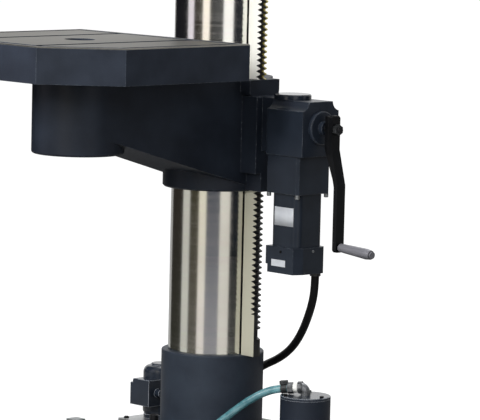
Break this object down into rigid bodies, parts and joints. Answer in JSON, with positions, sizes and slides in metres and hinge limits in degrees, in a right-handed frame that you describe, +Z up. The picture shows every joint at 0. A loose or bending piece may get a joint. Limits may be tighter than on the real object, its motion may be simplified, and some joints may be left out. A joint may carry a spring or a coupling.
{
  "type": "pillar drill",
  "caption": "Floor-standing pillar drill with a motor-driven rack and worm table lift, hand crank, sliding quill, geared head and coolant pump in its base.",
  "frame": {"origin": "on the floor under the column's axis", "axes": "+Z up along the column, -Y to the operator, +X to the operator's right, where the rack and the lift are"},
  "size_m": [0.7343, 0.89, 2.068],
  "materials": {
    "anthracite_paint": "semi-gloss anthracite machine paint",
    "machined_iron": "painted sides with a machined working face",
    "ground_steel": "ground and polished steel",
    "black_steel": "black oxide and black paint",
    "bright_zinc": "dull zinc plate",
    "grip_metal": "satin turned aluminium",
    "hose_vinyl": "clear teal vinyl",
    "cable_rubber": "black rubber sheath",
    "black_plastic": "black moulded plastic",
    "red_plastic": "red moulded plastic",
    "green_plastic": "green moulded plastic",
    "panel_plastic": "grey moulded plastic"
  },
  "bodies": {
    "frame": {"base_plate": "machined_iron", "tank_cover": "bright_zinc", "coolant_pump": "anthracite_paint", "pump_terminal_box": "anthracite_paint", "column": "ground_steel", "column_cap": "black_steel", "column_foot": "anthracite_paint", "frame_screws": "black_steel", "column_rack": "ground_steel", "rack_collar": "ground_steel", "base_gland": "black_plastic", "lift_cable": "cable_rubber", "settling_pot": "anthracite_paint", "pot_lid": "anthracite_paint", "hose_elbow": "bright_zinc", "hose_clamp": "bright_zinc", "tank_inlet": "bright_zinc", "return_hose": "hose_vinyl", "head_casting": "anthracite_paint", "head_lid": "anthracite_paint", "drive_motor": "anthracite_paint", "motor_cowl": "anthracite_paint", "motor_terminal_box": "anthracite_paint", "control_panel": "panel_plastic"},
    "table_unit": {"table_bracket": "anthracite_paint", "work_table": "machined_iron", "table_screws": "black_steel", "lift_gearbox": "anthracite_paint", "gearbox_cap": "anthracite_paint", "crank_flange": "anthracite_paint", "gearhead": "anthracite_paint", "gearhead_screws": "black_steel", "lift_motor": "anthracite_paint", "motor_end_box": "anthracite_paint", "cable_bush": "black_plastic", "clamp_stud": "ground_steel"},
    "lift_gear": {"lift_gear": "ground_steel"},
    "crank": {"worm_shaft": "black_steel", "worm_bevel": "ground_steel", "crank_arm": "black_steel", "crank_nut": "black_steel", "grip_pin": "ground_steel"},
    "motor_bevel": {"motor_bevel": "ground_steel"},
    "grip": {"crank_grip": "grip_metal"},
    "clamp_lever": {"clamp_lever": "black_steel"},
    "quill": {"quill": "ground_steel", "spindle_bearings": "ground_steel"},
    "spindle": {"spindle": "ground_steel", "drill_chuck": "ground_steel", "chuck_jaws": "ground_steel"},
    "drive_gear": {"drive_gear": "ground_steel"},
    "motor_pinion": {"motor_pinion": "ground_steel"},
    "feed": {"feed_shaft": "ground_steel", "feed_hub": "black_plastic", "feed_levers": "ground_steel", "feed_knobs": "black_plastic"},
    "start_button": {"start_button": "green_plastic"},
    "stop_button": {"stop_button": "red_plastic"},
    "emergency_stop": {"emergency_stop": "red_plastic"},
    "gear_lever": {"gear_lever": "black_plastic"}
  },
  "joints": [
    {"name": "table_lift", "type": "slide", "parent": "frame", "child": "table_unit", "axis": [0, 0, 1], "range_m": [-0.18, 0.32], "deforming": ["lift_cable"]},
    {"name": "lift_gear_turn", "type": "hinge", "parent": "table_unit", "child": "lift_gear", "pos_m": [0.14547, 0, 0.734], "axis": [0, 1, 0], "continuous": true},
    {"name": "crank_turn", "type": "hinge", "parent": "table_unit", "child": "crank", "pos_m": [0.33, 0, 0.767], "axis": [1, 0, 0], "continuous": true},
    {"name": "motor_turn", "type": "hinge", "parent": "table_unit", "child": "motor_bevel", "pos_m": [0.233, 0, 0.74], "axis": [0, 0, 1], "continuous": true},
    {"name": "grip_turn", "type": "hinge", "parent": "crank", "child": "grip", "pos_m": [0.353, 0, 0.54], "axis": [0.9976, 0, -0.0698], "continuous": true},
    {"name": "clamp_turn", "type": "hinge", "parent": "table_unit", "child": "clamp_lever", "pos_m": [-0.1355, -0.05, 0.74], "axis": [0, -1, 0], "range_deg": [0, 80]},
    {"name": "quill_feed", "type": "slide", "parent": "frame", "child": "quill", "axis": [0, 0, 1], "range_m": [-0.16, 0], "stiffness_N_per_m": 600, "springref_m": 0.4},
    {"name": "feed_turn", "type": "hinge", "parent": "frame", "child": "feed", "pos_m": [0.16, -0.3105, 1.545], "axis": [1, 0, 0], "range_deg": [0, 540]},
    {"name": "drive_turn", "type": "hinge", "parent": "frame", "child": "drive_gear", "pos_m": [0, -0.368, 1.745], "axis": [0, 0, 1], "continuous": true},
    {"name": "spindle_turn", "type": "hinge", "parent": "quill", "child": "spindle", "pos_m": [0, -0.368, 1.4], "axis": [0, 0, 1], "continuous": true},
    {"name": "motor_pinion_turn", "type": "hinge", "parent": "frame", "child": "motor_pinion", "pos_m": [0, -0.248, 1.745], "axis": [0, 0, 1], "continuous": true},
    {"name": "start_press", "type": "slide", "parent": "frame", "child": "start_button", "axis": [0, 1, 0], "range_m": [0, 0.004], "stiffness_N_per_m": 500, "springref_m": -0.004},
    {"name": "stop_press", "type": "slide", "parent": "frame", "child": "stop_button", "axis": [0, 1, 0], "range_m": [0, 0.004], "stiffness_N_per_m": 500, "springref_m": -0.004},
    {"name": "emergency_press", "type": "slide", "parent": "frame", "child": "emergency_stop", "axis": [0, 1, 0], "range_m": [0, 0.004], "stiffness_N_per_m": 500, "springref_m": -0.004},
    {"name": "gear_shift", "type": "hinge", "parent": "frame", "child": "gear_lever", "pos_m": [0.082, -0.5, 1.69], "axis": [0, 1, 0], "range_deg": [-30, 30]}
  ],
  "couplings": [
    {"joint": "lift_gear_turn", "follows": "table_lift", "rad_per_m": -47.619},
    {"joint": "crank_turn", "follows": "table_lift", "rad_per_m": 571.43},
    {"joint": "motor_turn", "follows": "table_lift", "rad_per_m": 571.43},
    {"joint": "feed_turn", "follows": "quill_feed", "rad_per_m": -57.143},
    {"joint": "spindle_turn", "follows": "drive_turn", "ratio": 1},
    {"joint": "motor_pinion_turn", "follows": "drive_turn", "ratio": -2.6364}
  ]
}
